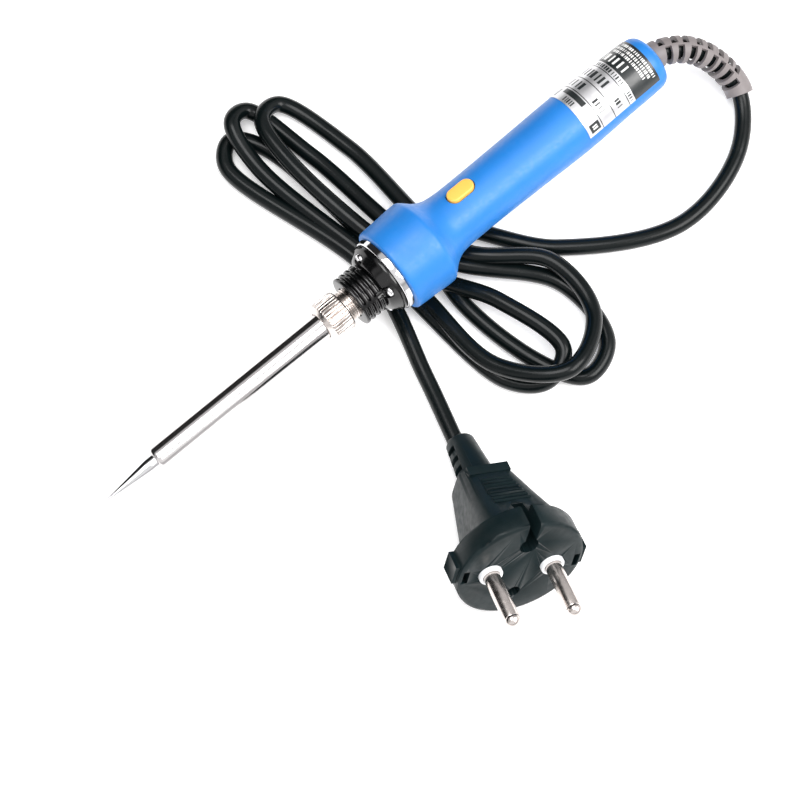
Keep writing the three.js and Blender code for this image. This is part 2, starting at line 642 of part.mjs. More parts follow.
function plug() {
  const group = new THREE.Group();
  const tilt = THREE.MathUtils.degToRad(PLUG_TILT_DEG);
  const pinDirection = PLUG_HEADING.clone().normalize().multiplyScalar(Math.cos(tilt));
  pinDirection.z = Math.sin(tilt);
  const across = new THREE.Vector3().crossVectors(new THREE.Vector3(0, 0, 1), pinDirection).normalize();
  const up = new THREE.Vector3().crossVectors(pinDirection, across);
  const place = new THREE.Matrix4().makeBasis(across, up, pinDirection).setPosition(PLUG_FACE);
  group.applyMatrix4(place.multiply(new THREE.Matrix4().makeRotationZ(-THREE.MathUtils.degToRad(PLUG_ROLL_DEG))));

  const body = loft([
    ovalRing(-PLUG_BODY_LENGTH - PLUG_GUARD_LENGTH, 3.8, 3.8), ovalRing(-PLUG_BODY_LENGTH, 5.4, 5.4),
    ovalRing(1 - PLUG_BODY_LENGTH, 7.6, 7.2, 2.2), ovalRing(-18, 10.2, 12, 3), ovalRing(-9, 12, 15.5, 3),
    ovalRing(-8, PLUG_R, PLUG_R), ovalRing(-0.8, PLUG_R, PLUG_R), ovalRing(0, PLUG_R - 0.8, PLUG_R - 0.8),
  ]);
  const holes = [1, -1].map((side) => new THREE.CylinderGeometry(
    PIN_COLLAR_R + GAP, PIN_COLLAR_R + GAP, 2 * PIN_SOCKET_DEPTH, SMALL_ROUND,
  ).rotateX(Math.PI / 2).translate((side * PIN_SPACING) / 2, 0, 0));
  const earthHole = new THREE.CylinderGeometry(EARTH_HOLE_R, EARTH_HOLE_R, 24, SMALL_ROUND).rotateX(Math.PI / 2);
  const notches = [1, -1].map((side) => box([side * 16.6 - 3, -3, -14], [side * 16.6 + 3, 3, 2])
    .translate(side * 3, 0, 0));
  group.add(piece('plug_body', cut(body, ...holes, earthHole.translate(0, 10, 0), ...notches), finish.plugPlastic));

  [1, -1].forEach((side, i) => {
    const x = (side * PIN_SPACING) / 2;
    const seat = -PIN_SOCKET_DEPTH + GAP;
    const pin = revolve([
      [seat, 0], [seat, PIN_R], [PIN_LENGTH - 1.8, PIN_R], [PIN_LENGTH - 0.6, PIN_R - 0.7], [PIN_LENGTH, 0.9],
      [PIN_LENGTH, 0],
    ], SMALL_ROUND).rotateY(-Math.PI / 2).translate(x, 0, 0);
    const collar = tube(seat, PIN_COLLAR_HEIGHT, PIN_COLLAR_R, PIN_R + GAP, SMALL_ROUND);
    group.add(piece(`plug_pin_${i + 1}`, pin, finish.nickel));
    group.add(piece(`pin_collar_${i + 1}`, collar.rotateY(-Math.PI / 2).translate(x, 0, 0), finish.whitePlastic));
  });
  return group;
}

// ---- Assembly -----------------------------------------------------------------------------------

const iron = new THREE.Group();
iron.position.z = AXIS_Z;
iron.add(
  solderingTip(), barrelSleeve(), barrelNut(), heaterCore(), threadedCollar(), neckInsulator(),
  ...neckScrews(), frontBezelRing(), heaterHolder(), handleShell(), ratingLabel(), powerButton(),
  switchPlunger(), switchBody(), circuitBoard(), diode(), ...heaterLeads(), ...cordCores(), cordClamp(),
);
const relief = strainRelief();

// The origin is on the table, under the middle of the iron and its guard, without the cord and plug.
const fromTip = new THREE.Group();
fromTip.add(iron, relief);
fromTip.updateMatrixWorld(true);
const middle = new THREE.Box3().setFromObject(fromTip, true).getCenter(new THREE.Vector3());
fromTip.add(cordInGuard(), mainsCord(), plug());
fromTip.position.set(-middle.x, -middle.y, 0);

const solderingIron = new THREE.Group();
solderingIron.add(fromTip);

export default solderingIron;
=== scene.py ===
"""Looks of the soldering iron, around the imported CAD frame.

Lengths in the tables below are millimetres, measured along the iron from the point of its tip, out
from its axis, and up from the table.  Everything that is made is in metres, in the frame's own axes.
"""

import json
import math

import bmesh
import bpy
from mathutils import Matrix, Vector


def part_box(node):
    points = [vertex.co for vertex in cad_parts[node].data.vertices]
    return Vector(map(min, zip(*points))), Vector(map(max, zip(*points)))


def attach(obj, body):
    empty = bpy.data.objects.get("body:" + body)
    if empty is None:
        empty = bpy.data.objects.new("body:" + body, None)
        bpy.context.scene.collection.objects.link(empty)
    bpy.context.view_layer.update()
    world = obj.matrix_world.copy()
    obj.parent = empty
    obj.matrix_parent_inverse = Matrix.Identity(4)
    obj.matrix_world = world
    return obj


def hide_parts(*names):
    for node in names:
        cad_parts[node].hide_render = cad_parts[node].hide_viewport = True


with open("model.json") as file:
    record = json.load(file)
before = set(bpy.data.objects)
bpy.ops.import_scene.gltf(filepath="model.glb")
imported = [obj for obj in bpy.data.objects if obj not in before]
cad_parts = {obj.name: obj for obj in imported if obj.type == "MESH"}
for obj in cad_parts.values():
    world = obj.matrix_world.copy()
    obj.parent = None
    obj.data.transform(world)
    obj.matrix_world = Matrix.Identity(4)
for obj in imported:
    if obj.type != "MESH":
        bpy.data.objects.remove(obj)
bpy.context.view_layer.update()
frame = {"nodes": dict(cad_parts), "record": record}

MM = 0.001

# ---- Places taken from the frame ----------------------------------------------------------------

TIP_LOW, TIP_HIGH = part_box("soldering_tip")
SLEEVE_LOW, SLEEVE_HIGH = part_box("barrel_sleeve")
AXIS = Vector((TIP_LOW.x, (SLEEVE_LOW.y + SLEEVE_HIGH.y) / 2, (SLEEVE_LOW.z + SLEEVE_HIGH.z) / 2))
AXIS_Z = AXIS.z / MM


def spot(x, y, z):
    """A place given from the point of the tip, sideways from the axis, and up from the table."""
    return Vector((AXIS.x + x * MM, AXIS.y + y * MM, z * MM))


# ---- Driving dimensions, in millimetres ---------------------------------------------------------

SLEEVE_START = 18.0
SLEEVE_R = 4.0
SHANK_R = 2.35
NUT_START, NUT_END, NUT_R = 79.35, 87.3, 6.25
NUT_KNURLS = 36
NECK_START, DOME_START, DOME_END = 90.2, 97.8, 102.3
NECK_R, DOME_R = 8.0, 11.25
NECK_RIBS, RIB_PITCH = 4, 1.9
SCREW_CIRCLE_R, SCREW_HEAD_R, SCREW_SEAT = 9.0, 1.7, 99.9
SCREW_ROLLS = [45, 135, 225, 315]
HANDLE_START, HANDLE_END = 104.5, 206.2
BUTTON_X, BUTTON_TILT, BUTTON_TOP_R = HANDLE_START + 29.7, 18.0, 9.75
BUTTON_LENGTH, BUTTON_WIDTH = 9.0, 4.6
LABEL_FRONT, LABEL_REAR = HANDLE_START + 70.0, HANDLE_START + 97.7
LABEL_FIRST, LABEL_WRAP = 62.0, 199.0
CORD_R, CORD_STEP, CURVE_STEPS = 2.5, 0.8, 24
JACKET_START, HELD_STRAIGHT = 186.0, 22.0
GUARD_LENGTH, GUARD_R, GUARD_BORE_R, GUARD_COLLAR, GUARD_PITCH = 37.0, 4.15, 2.95, 4.2, 3.7
GUARD_FIRST_SLOT, GUARD_SLOT, GUARD_SPINE = 3.2, 2.1, 0.7
PLUG_FACE = (75.5, -90.7, 20.9)
PLUG_HEADING, PLUG_TILT, PLUG_ROLL = (-0.325, -0.946), 20.6, 20.0
PIN_SPACING, PIN_R, PIN_LENGTH, PIN_SEAT = 19.0, 2.4, 19.0, -3.7

# The blue handle: distance behind its front face, and radius.
HANDLE_OUTLINE = [
    (1.4, 13.5), (7, 13.75), (12.6, 14.05), (14.0, 13.9), (15.3, 12.95), (17.4, 11.1), (20.4, 9.6),
    (23.9, 9.1), (29, 8.95), (50, 9.2), (70, 9.55), (86, 9.1), (97.7, 8.8), (99.6, 8.55), (100.9, 7.8),
    (101.6, 6.6),
]

# The cord's centre line, from inside the handle to the plug.
LOW = CORD_R + 0.1
HIGH = 3 * CORD_R + 0.2
CORD_ROUTE = [
    (JACKET_START, 0, AXIS_Z), (JACKET_START + HELD_STRAIGHT, 0, AXIS_Z),
    (219.4, -6.4, 17), (224.6, -20.5, 5.2),
    (211.5, -34.6, LOW), (184, -40, LOW), (151, -21.4, LOW), (128, 6.5, LOW),
    (119.4, -11, LOW), (124.3, -46, LOW), (132, -57.2, LOW), (143.2, -53, LOW), (145, -31, LOW),
    (122, -2, 6.4),
    (115.4, 47, LOW), (109.5, 70.5, 4.6), (103.2, 69.5, HIGH), (100.4, 55, 5),
    (108.2, 6, LOW),
    (112.8, -42.3, LOW), (121.3, -51.2, 5), (130.6, -47.5, HIGH), (126.3, -24.2, HIGH),
    (116.4, -2, 3.2),
    (108, 47.5, HIGH), (110.6, 64.5, HIGH), (118.2, 66, 4.2), (125.4, 42, LOW),
    (128, -5, HIGH), (146, -25, HIGH), (144.5, -45, HIGH), (127.2, -54.2, 12), (112.6, -38.5, HIGH),
    (111.3, -3, 3.2),
    (106.6, 58, LOW), (100, 66.9, LOW), (94, 61.5, LOW),
    (104.8, 8, LOW), (96, -26.5, LOW), (89.7, -46.6, 3.7),
]

# ---- Camera -------------------------------------------------------------------------------------


def make_camera():
    camera = bpy.data.objects.new("camera", bpy.data.cameras.new("camera"))
    bpy.context.scene.collection.objects.link(camera)
    camera.location = spot(-85.55, -225.81, 860.67)
    aim = spot(86.22, -26.48, 0) - camera.location
    camera.rotation_euler = aim.to_track_quat("-Z", "Y").to_euler()
    camera.data.sensor_width = 36
    camera.data.lens = 139.3
    camera.data.clip_end = 10
    bpy.context.scene.camera = camera


make_camera()

# ---- Node materials -----------------------------------------------------------------------------


class Nodes:
    """A short way to write a material's node tree."""

    def __init__(self, name):
        self.material = bpy.data.materials.new(name)
        self.material.use_nodes = True
        self.tree = self.material.node_tree
        self.tree.nodes.clear()
        self.output = self.add("ShaderNodeOutputMaterial")
        self.shader = self.add("ShaderNodeBsdfPrincipled")
        self.join(self.shader.outputs["BSDF"], self.output.inputs["Surface"])
        self.coords = self.add("ShaderNodeTexCoord")

    def add(self, kind, **settings):
        node = self.tree.nodes.new(kind)
        for key, value in settings.items():
            setattr(node, key, value)
        return node

    def join(self, source, target):
        if isinstance(source, bpy.types.NodeSocket):
            self.tree.links.new(source, target)
        else:
            target.default_value = source

    def set(self, socket, value):
        self.join(value, self.shader.inputs[socket])

    def math(self, operation, first, second=0.0):
        node = self.add("ShaderNodeMath", operation=operation)
        self.join(first, node.inputs[0])
        self.join(second, node.inputs[1])
        return node.outputs[0]

    def mix(self, amount, first, second):
        node = self.add("ShaderNodeMix", data_type="RGBA")
        self.join(amount, node.inputs[0])
        self.join(first, node.inputs[6])
        self.join(second, node.inputs[7])
        return node.outputs[2]

    def scaled(self, stretch):
        node = self.add("ShaderNodeMapping")
        self.join(self.coords.outputs["Object"], node.inputs["Vector"])
        node.inputs["Scale"].default_value = stretch
        return node.outputs[0]

    def noise(self, scale, detail=3.0, stretch=(1, 1, 1)):
        node = self.add("ShaderNodeTexNoise")
        self.join(self.scaled(stretch), node.inputs["Vector"])
        node.inputs["Scale"].default_value = scale
        node.inputs["Detail"].default_value = detail
        return node.outputs["Fac"]

    def spread(self, value, low, high):
        """Widens the middle of a noise's range to low..high."""
        node = self.add("ShaderNodeMapRange")
        self.join(value, node.inputs["Value"])
        for name, number in (("From Min", 0.3), ("From Max", 0.7), ("To Min", low), ("To Max", high)):
            node.inputs[name].default_value = number
        return node.outputs[0]

    def bump(self, height, distance):
        node = self.add("ShaderNodeBump")
        self.join(height, node.inputs["Height"])
        node.inputs["Distance"].default_value = distance
        node.inputs["Strength"].default_value = 1.0
        self.join(node.outputs[0], self.shader.inputs["Normal"])


def shade(colour, factor):
    return (colour[0] * factor, colour[1] * factor, colour[2] * factor, 1)


def surface(name, colour, roughness, metallic=0.0, vary=0.08, grain=900, bump=0.00002,
            stretch=(1, 1, 1), rough_vary=0.08, specular=0.5):
    """A surface with uneven colour and gloss and a fine grain."""
    n = Nodes(name)
    cloud = n.noise(120)
    n.set("Base Color", n.mix(n.spread(cloud, 0, 1), shade(colour, 1 - vary), shade(colour, 1 + vary)))
    wear = n.noise(grain * 0.6, 4, stretch)
    n.set("Roughness", n.spread(wear, max(roughness - rough_vary, 0.02), roughness + rough_vary))
    n.set("Metallic", metallic)
    n.set("Specular IOR Level", specular)
    n.bump(n.noise(grain, 3, stretch), bump)
    return n.material


def label_print():
    """Silver foil with ruled rings, a black rear band, and rows of plain dashes in place of text.

    The UV map holds millimetres: across the label from its front edge, and round from its first edge.
    """
    n = Nodes("label_foil")
    uv = n.add("ShaderNodeSeparateXYZ")
    n.join(n.coords.outputs["UV"], uv.inputs[0])
    along, around = uv.outputs[0], uv.outputs[1]

    def between(value, low, high):
        return n.math("MULTIPLY", n.math("GREATER_THAN", value, low), n.math("LESS_THAN", value, high))

    def dashes(low, high, first, last, pitch):
        cell = n.math("FLOOR", n.math("DIVIDE", around, pitch))
        noise = n.add("ShaderNodeTexWhiteNoise", noise_dimensions="1D")
        n.join(n.math("ADD", cell, low * 7.3), noise.inputs["W"])
        width = n.math("MULTIPLY_ADD", noise.outputs["Value"], 0.55)
        width.node.inputs[2].default_value = 0.25
        place = n.math("FRACT", n.math("DIVIDE", around, pitch))
        inked = n.math("LESS_THAN", place, width)
        rows = n.math("MULTIPLY", between(along, low, high), between(around, first, last))
        return n.math("MULTIPLY", inked, rows)

    def total(masks):
        result = masks[0]
        for mask in masks[1:]:
            result = n.math("MAXIMUM", result, mask)
        return result

    rings = [between(along, ring, ring + 0.3) for ring in (5.1, 9.9, 15.6)]
    block = n.math("MULTIPLY", between(along, 1.1, 4.6), between(around, 0.8, 3.6))
    heading = n.math("MULTIPLY", between(along, 2.9, 4.7), between(around, 9.0, 17.5))
    rows = [
        dashes(0.6, 2.3, 11.0, 15.0, 0.8), dashes(0.8, 4.0, 18.6, 26.5, 2.1),
        dashes(6.2, 9.0, 13.5, 20.5, 1.7), dashes(6.2, 8.2, 4.0, 8.6, 1.1),
        dashes(11.4, 14.4, 9.5, 20.0, 1.6), dashes(11.8, 13.6, 1.5, 5.0, 1.0),
        dashes(16.3, 17.5, 1.0, 4.2, 0.9), dashes(16.2, 17.6, 7.0, 19.0, 1.0),
    ]
    ink = total(rings + [block, heading] + rows)
    band = n.math("GREATER_THAN", along, 18.0)
    white_rows = [
        dashes(19.0, 21.8, 9.0, 19.5, 1.9), dashes(22.8, 23.8, 4.0, 19.0, 0.8),
        dashes(24.3, 25.3, 3.0, 19.5, 0.8), dashes(25.8, 26.8, 2.4, 18.0, 0.8),
        dashes(2.0, 3.7, 1.4, 3.0, 0.8),
    ]
    paper = total(white_rows)
    foil = n.mix(n.spread(n.noise(160), 0, 1), (0.62, 0.62, 0.64, 1), (0.78, 0.78, 0.79, 1))
    inked = n.mix(n.math("MAXIMUM", ink, band), foil, (0.012, 0.016, 0.017, 1))
    n.set("Base Color", n.mix(paper, inked, (0.85, 0.85, 0.84, 1)))
    printed = n.math("MAXIMUM", n.math("MAXIMUM", ink, band), paper)
    n.set("Metallic", n.math("MULTIPLY", n.math("SUBTRACT", 1.0, printed), 0.75))
    n.set("Roughness", n.spread(n.noise(700, 4), 0.3, 0.42))
    n.set("Coat Weight", 0.4)
    n.set("Coat Roughness", 0.15)
    n.bump(n.noise(500), 0.00002)
    return n.material


LOOKS = {
    "blue_plastic": surface("blue_moulding", (0.013, 0.18, 0.56), 0.42, vary=0.04, grain=1400,
                            bump=0.000012),
    "orange_button": surface("orange_moulding", (0.98, 0.5, 0.09), 0.45, vary=0.04, grain=1500,
                             bump=0.00001),
    "silver_label": label_print(),
    "chrome": surface("chrome_plate", (0.7, 0.7, 0.71), 0.08, 1, vary=0.03, bump=0.000003,
                      rough_vary=0.03),
    "nickel": surface("nickel_plate", (0.66, 0.61, 0.58), 0.2, 1, vary=0.05, bump=0.000004),
    "stainless": surface("stainless_tube", (0.7, 0.68, 0.68), 0.12, 1, vary=0.04, grain=500,
                         bump=0.000004, stretch=(14, 1, 1), rough_vary=0.05),
    "bakelite": surface("black_phenolic", (0.0025, 0.0028, 0.003), 0.14, vary=0.2, bump=0.000004,
                        rough_vary=0.04),
    "black_jacket": surface("black_pvc_jacket", (0.0022, 0.0042, 0.0045), 0.23, vary=0.2, grain=420,
                            bump=0.000006, rough_vary=0.05, specular=0.22),
    "grey_guard": surface("grey_rubber", (0.19, 0.17, 0.17), 0.5, vary=0.08, bump=0.00001),
    "plug_plastic": surface("black_plug_moulding", (0.0045, 0.011, 0.0125), 0.42, vary=0.15,
                            grain=1000, bump=0.00001, specular=0.2),
    "ceramic": surface("steatite", (0.78, 0.75, 0.67), 0.6, vary=0.05, bump=0.00003),
    "white_plastic": surface("white_moulding", (0.8, 0.82, 0.84), 0.42, vary=0.03),
    "circuit_board": surface("green_resist", (0.02, 0.13, 0.04), 0.3, vary=0.1),
    "black_component": surface("black_component", (0.015, 0.015, 0.015), 0.45, vary=0.1),
    "brown_wire": surface("brown_insulation", (0.11, 0.035, 0.01), 0.4),
    "blue_wire": surface("blue_insulation", (0.02, 0.1, 0.45), 0.4),
    "green_yellow_wire": surface("green_yellow_insulation", (0.25, 0.45, 0.03), 0.4),
}

# ---- Mesh tools ---------------------------------------------------------------------------------


def add_mesh(name, vertices, faces, smooth=32):
    mesh = bpy.data.meshes.new(name)
    mesh.from_pydata([tuple(v) for v in vertices], [], faces)
    work = bmesh.new()
    work.from_mesh(mesh)
    bmesh.ops.remove_doubles(work, verts=work.verts, dist=1e-7)
    bmesh.ops.recalc_face_normals(work, faces=work.faces)
    work.to_mesh(mesh)
    work.free()
    obj = bpy.data.objects.new(name, mesh)
    bpy.context.scene.collection.objects.link(obj)
    soften(obj, smooth)
    return obj


def soften(obj, degrees=32):
    obj.data.shade_smooth()
    obj.data.set_sharp_from_angle(angle=math.radians(degrees))


def finish(obj, slot, body, *nodes):
    """Gives a piece the look of its slot, lets it ride on its body, and hides the CAD nodes that it stands
    for.
    """
    obj.data.materials.clear()
    obj.data.materials.append(LOOKS[slot])
    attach(obj, body)
    if nodes:
        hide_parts(*nodes)
    return obj


def rounded(corners):
    """An outline from (along, radius) corners; a third number rounds that corner by so much."""
    points = []
    count = len(corners)
    for i, corner in enumerate(corners):
        here = Vector(corner[:2])
        size = corner[2] if len(corner) > 2 else 0
        if not size or i in (0, count - 1):
            points.append(here)
            continue
        before = Vector(corners[i - 1][:2]) - here
        after = Vector(corners[i + 1][:2]) - here
        start = here + before.normalized() * min(size, before.length * 0.49)
        end = here + after.normalized() * min(size, after.length * 0.49)
        for k in range(6):
            t = k / 5
            points.append(start * (1 - t) ** 2 + here * 2 * t * (1 - t) + end * t * t)
    return [(p.x, p.y) for p in points]


def flowing(points, steps):
    """A smooth line through the points of an outline."""
    line = centripetal([Vector((x, r, 0)) for x, r in points], steps)
    return [(p.x, p.y) for p in line]


def centripetal(points, steps):
    """Centripetal Catmull-Rom curve through points, as three.js draws it."""
    padded = [points[0] * 2 - points[1], *points, points[-1] * 2 - points[-2]]
    line = []
    for i in range(len(points) - 1):
        p0, p1, p2, p3 = padded[i:i + 4]
        d0, d1, d2 = [max(math.sqrt((b - a).length), 1e-4) for a, b in ((p0, p1), (p1, p2), (p2, p3))]
        start = ((p1 - p0) / d0 - (p2 - p0) / (d0 + d1) + (p2 - p1) / d1) * d1
        end = ((p2 - p1) / d1 - (p3 - p1) / (d1 + d2) + (p3 - p2) / d2) * d1
        for k in range(steps):
            t = k / steps
            line.append(p1 * (2 * t**3 - 3 * t**2 + 1) + start * (t**3 - 2 * t**2 + t)
                        + p2 * (3 * t**2 - 2 * t**3) + end * (t**3 - t**2))
    line.append(points[-1].copy())
    return line


def ring_faces(row, following, sides):
    """Faces that join one ring of vertices to the next."""
    faces = []
    for i in range(sides):
        nxt = (i + 1) % sides
        faces.append((row * sides + i, row * sides + nxt, following * sides + nxt, following * sides + i))
    return faces


def revolve(name, outline, facets, radius_at=None, closed=True, smooth=32):
    """Turns an outline round the iron's axis.  radius_at may change a radius with the roll."""
    vertices = []
    for x, r in outline:
        for i in range(facets):
            roll = 2 * math.pi * i / facets
            radius = radius_at(x, r, roll) if radius_at else r
            vertices.append(spot(x, -radius * math.sin(roll), AXIS_Z + radius * math.cos(roll)))
    rows = len(outline)
    faces = []
    for row in range(rows if closed else rows - 1):
        faces += ring_faces(row, (row + 1) % rows, facets)
    return add_mesh(name, vertices, faces, smooth)


def tube_along(name, path, ring, smooth=32):
    """Sweeps a ring of (across, up) pairs, in millimetres, along a path of points in metres."""
    frames = carried_frames(path)
    vertices = []
    for point, (_, across, up) in zip(path, frames):
        vertices.extend(point + across * (a * MM) + up * (u * MM) for a, u in ring)
    sides = len(ring)
    faces = []
    for row in range(len(path) - 1):
        faces += ring_faces(row, row + 1, sides)
    last = (len(path) - 1) * sides
    faces.append(tuple(range(sides)))
    faces.append(tuple(last + i for i in range(sides)))
    return add_mesh(name, vertices, faces, smooth)


def carried_frames(path):
    """(tangent, across, up) at each point of a path; up stays as near to +Z as it can."""
    frames = []
    for i, _ in enumerate(path):
        tangent = (path[min(i + 1, len(path) - 1)] - path[max(i - 1, 0)]).normalized()
        across = Vector((0, 0, 1)).cross(tangent).normalized()
        frames.append((tangent, across, tangent.cross(across)))
    return frames


def circle(radius, sides):
    return [(radius * math.cos(2 * math.pi * i / sides), radius * math.sin(2 * math.pi * i / sides))
            for i in range(sides)]


def block(name, low, high):
    """A plain cutter or block between two corners, in metres."""
    corners = [Vector((x, y, z)) for x in (low[0], high[0])
               for y in (low[1], high[1]) for z in (low[2], high[2])]
    faces = [(0, 1, 3, 2), (4, 6, 7, 5), (0, 4, 5, 1), (2, 3, 7, 6), (0, 2, 6, 4), (1, 5, 7, 3)]
    return add_mesh(name, corners, faces)


def brick(name, low, high):
    """A block between two corners, in millimetres."""
    return block(name, [value * MM for value in low], [value * MM for value in high])


def prism(name, outline, bottom, top):
    """An upright block over an outline of (x, y) pairs, all in metres."""
    sides = len(outline)
    vertices = [Vector((x, y, bottom)) for x, y in outline] + [Vector((x, y, top)) for x, y in outline]
    faces = [tuple(range(sides)), tuple(range(sides, 2 * sides))]
    faces += [(i, (i + 1) % sides, sides + (i + 1) % sides, sides + i) for i in range(sides)]
    return add_mesh(name, vertices, faces)


def settle(obj):
    """Applies an object's modifiers to its mesh."""
    graph = bpy.context.evaluated_depsgraph_get()
    mesh = bpy.data.meshes.new_from_object(obj.evaluated_get(graph))
    obj.modifiers.clear()
    obj.data = mesh
    return obj


def carve(obj, cutter, operation="DIFFERENCE"):
    modifier = obj.modifiers.new("carve", "BOOLEAN")
    modifier.operation = operation
    modifier.object = cutter
    modifier.solver = "EXACT"
    settle(obj)
    bpy.data.objects.remove(cutter)
    return obj


def bevelled(obj, width, segments=3):
    """Rounds the sharp edges of a piece; the width is in millimetres."""
    modifier = obj.modifiers.new("bevel", "BEVEL")
    modifier.width = width * MM
    modifier.segments = segments
    modifier.limit_method = "ANGLE"
    modifier.angle_limit = math.radians(35)
    settle(obj)
    soften(obj, 40)
    return obj


# ---- Cord and guard -----------------------------------------------------------------------------


def even_line(points, step):
    """Points every so many metres along a line."""
    line = [points[0].copy()]
    carry = 0.0
    for a, b in zip(points, points[1:]):
        length = (b - a).length
        at = step - carry
        while at <= length and length > 0:
            line.append(a.lerp(b, at / length))
            at += step
        carry = length - (at - step)
    return line


def cord_line():
    """The route as an evenly stepped curve, straight in the handle and never through the table."""
    line = centripetal([spot(*point) for point in CORD_ROUTE], CURVE_STEPS)
    for point in line:
        point.z = max(point.z, LOW * MM)
    for point in line[:CURVE_STEPS]:
        point.y, point.z = AXIS.y, AXIS.z
    return even_line(line, CORD_STEP * MM)


CORD_LINE = cord_line()


def make_cord():
    cord = tube_along("cord", CORD_LINE, circle(CORD_R, 20), smooth=60)
    return finish(cord, "black_jacket", "root", "mains_cord", "cord_in_guard")


CORD = make_cord()


def guard_path():
    first = round((HANDLE_END - JACKET_START) / CORD_STEP)
    last = first + round(GUARD_LENGTH / CORD_STEP)
    return CORD_LINE[first:last + 1]


def make_guard():
    """Grey guard: a soft tube cut from both sides in turn, with a plain collar at its end."""
    path = guard_path()
    outer = tube_along("cord_guard", path, circle(GUARD_R, 40))
    bore = tube_along("guard_bore", [path[0] - (path[1] - path[0]), *path, path[-1] * 2 - path[-2]],
                      circle(GUARD_BORE_R, 32))
    carve(outer, bore)
    frames = carried_frames(path)
    count = int((GUARD_LENGTH - GUARD_COLLAR - 2) / GUARD_PITCH)
    for i in range(count):
        for side in (1, -1):
            along = GUARD_FIRST_SLOT + (i + (0 if side > 0 else 0.5)) * GUARD_PITCH
            index = min(round(along / CORD_STEP), len(path) - 2)
            tangent, across, up = frames[index]
            low, high = (GUARD_SPINE / 2, 7.0) if side > 0 else (-7.0, -GUARD_SPINE / 2)
            cutter = brick("slot", (-GUARD_SLOT / 2, low, -7), (GUARD_SLOT / 2, high, 7))
            basis = Matrix((tangent, across, up)).transposed().to_4x4()
            cutter.data.transform(Matrix.Translation(path[index]) @ basis)
            carve(outer, cutter)
    bevelled(outer, 0.28)
    return finish(outer, "grey_guard", "root", "strain_relief")


make_guard()

# ---- Hot end ------------------------------------------------------------------------------------


def make_tip():
    outline = rounded([
        (0, 0.0), (0.05, 0.22, 0.1), (15.4, SHANK_R, 1.2), (19.3, SHANK_R, 0.2), (19.3, 3.15, 0.3),
        (43.0, 3.15, 0.3), (43.0, 2.2, 0.1), (23.0, 2.2, 0.1), (23.0, 0.0),
    ])
    tip = revolve("iron_tip", outline, 96, closed=False, smooth=50)
    return finish(tip, "chrome", "tip", "soldering_tip")


def make_sleeve():
    outline = rounded([
        (18.7, 2.65), (SLEEVE_START, 2.9, 0.3), (SLEEVE_START, SLEEVE_R - 0.5, 0.5),
        (SLEEVE_START + 0.8, SLEEVE_R, 0.6), (83.5, SLEEVE_R), (83.5, 4.7, 0.1), (84.5, 4.7, 0.1),
        (84.5, 3.45), (19.0, 3.45), (18.7, 2.65),
    ])
    sleeve = revolve("steel_sleeve", outline[:-1], 128, smooth=50)
    return finish(sleeve, "stainless", "barrel", "barrel_sleeve")


def make_nut():
    def knurl(x, r, roll):
        """Straight knurling between plain lands; the bore stays round."""
        if r < 5.4:
            return r
        place = (roll * NUT_KNURLS / (2 * math.pi)) % 1
        depth = 0.45 * max(1 - abs(place - 0.5) / 0.24, 0)
        lands = min(max((x - NUT_START - 1.2) / 0.4, 0), 1) * min(max((NUT_END - 0.5 - x) / 0.3, 0), 1)
        return r - depth * lands

    outline = rounded([
        (NUT_START, 4.2), (NUT_START, NUT_R - 1.35, 0.2), (NUT_START + 1.35, NUT_R, 0.4),
        (NUT_START + 1.7, NUT_R), (NUT_START + 4, NUT_R), (NUT_END - 0.9, NUT_R),
        (NUT_END - 0.45, NUT_R, 0.1), (NUT_END, NUT_R - 0.4, 0.15), (NUT_END, 5.1),
        (83.2, 5.1), (83.2, 4.2), (NUT_START, 4.2),
    ])
    nut = revolve("knurled_nut", outline[:-1], NUT_KNURLS * 18, knurl, smooth=28)
    return finish(nut, "nickel", "nut", "barrel_nut")


def make_collar():
    corners = [(84.8, 3.6), (84.8, 4.5)]
    pitch = 0.75
    for i in range(7):
        start = 85.0 + i * pitch
        corners += [(start, 4.5), (start + pitch * 0.35, 4.82, 0.1), (start + pitch * 0.6, 4.82, 0.1)]
    corners += [(90.3, 4.5), (90.5, 4.75), (101.3, 4.75), (101.3, 6.5, 0.1), (102.6, 6.5, 0.1), (102.6, 3.6),
                (84.8, 3.6)]
    collar = revolve("thread_collar", rounded(corners)[:-1], 96, smooth=40)
    return finish(collar, "nickel", "root", "threaded_collar")


# ---- Neck ---------------------------------------------------------------------------------------


def screw_place(obj, roll):
    """Moves a piece made on the axis out to the screws' circle, at a roll from the top towards -Y."""
    shift = Matrix.Translation(Vector((0, 0, SCREW_CIRCLE_R * MM)))
    centre = Matrix.Translation(AXIS)
    turn = Matrix.Rotation(math.radians(roll), 4, "X")
    obj.data.transform(centre @ turn @ shift @ centre.inverted())
    return obj


